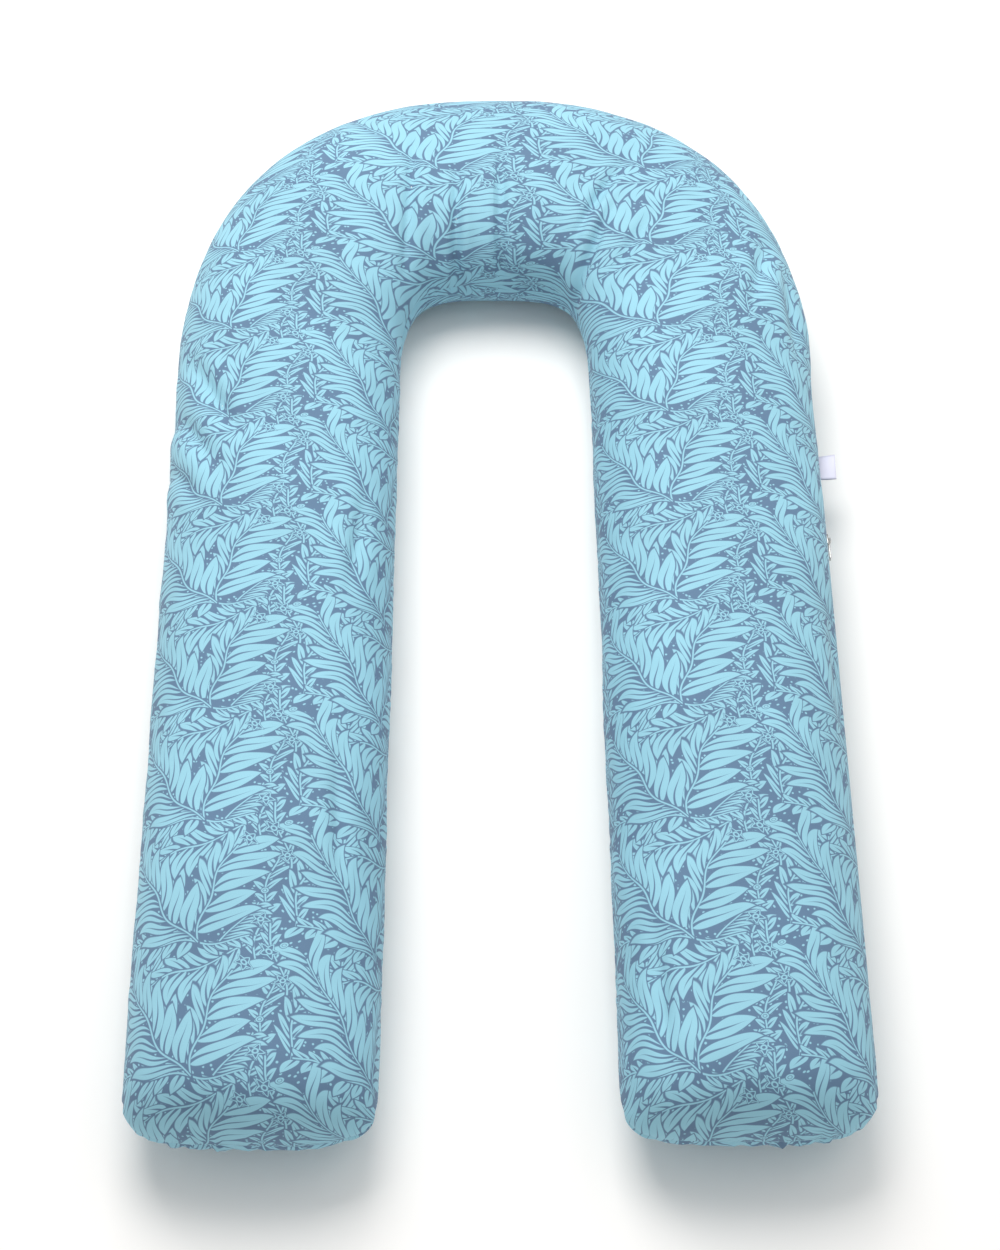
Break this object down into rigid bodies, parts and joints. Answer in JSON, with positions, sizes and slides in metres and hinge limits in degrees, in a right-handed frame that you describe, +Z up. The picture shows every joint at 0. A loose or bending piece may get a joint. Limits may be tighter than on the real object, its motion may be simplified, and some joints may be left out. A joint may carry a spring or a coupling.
{
  "type": "nursing pillow",
  "caption": "U-shaped nursing and pregnancy pillow: a printed cotton cover with a side zip over a fibre-filled inner casing.",
  "frame": {"origin": "on the floor under the middle of the whole pillow, in the plane midway between the two arms", "axes": "+X towards the arm with the zip and the label, +Y along the arms towards the bend, +Z up from the floor"},
  "size_m": [0.8357, 1.45, 0.18],
  "materials": {
    "cover_print": "matte",
    "casing_cloth": "matte",
    "fibre_fill": "matte",
    "zip_tape": "matte",
    "zip_coil": "satin",
    "zip_metal": "satin",
    "label": "satin"
  },
  "bodies": {
    "pillow": {"cover_top_left": "cover_print", "cover_top_right": "cover_print", "cover_bottom_left": "cover_print", "cover_bottom_right": "cover_print", "casing_top": "casing_cloth", "casing_bottom": "casing_cloth", "fill_left_arm": "fibre_fill", "fill_right_arm": "fibre_fill", "fill_bend": "fibre_fill", "zip_tape_upper": "zip_tape", "zip_tape_lower": "zip_tape", "zip_coil_upper": "zip_coil", "zip_coil_lower": "zip_coil", "zip_top_stop_upper": "zip_metal", "zip_top_stop_lower": "zip_metal", "zip_bottom_stop": "zip_metal", "side_label": "label"},
    "slider": {"zip_slider": "zip_metal"},
    "pull": {"zip_pull": "zip_metal"}
  },
  "joints": [
    {"name": "zip_slide", "type": "slide", "parent": "pillow", "child": "slider", "axis": [0.012, -0.9999, 0], "range_m": [0, 0.547]},
    {"name": "pull_swing", "type": "hinge", "parent": "slider", "child": "pull", "pos_m": [0.40791, 0.05017, 0.078], "axis": [0, 0, 1], "range_deg": [0, 170]}
  ]
}
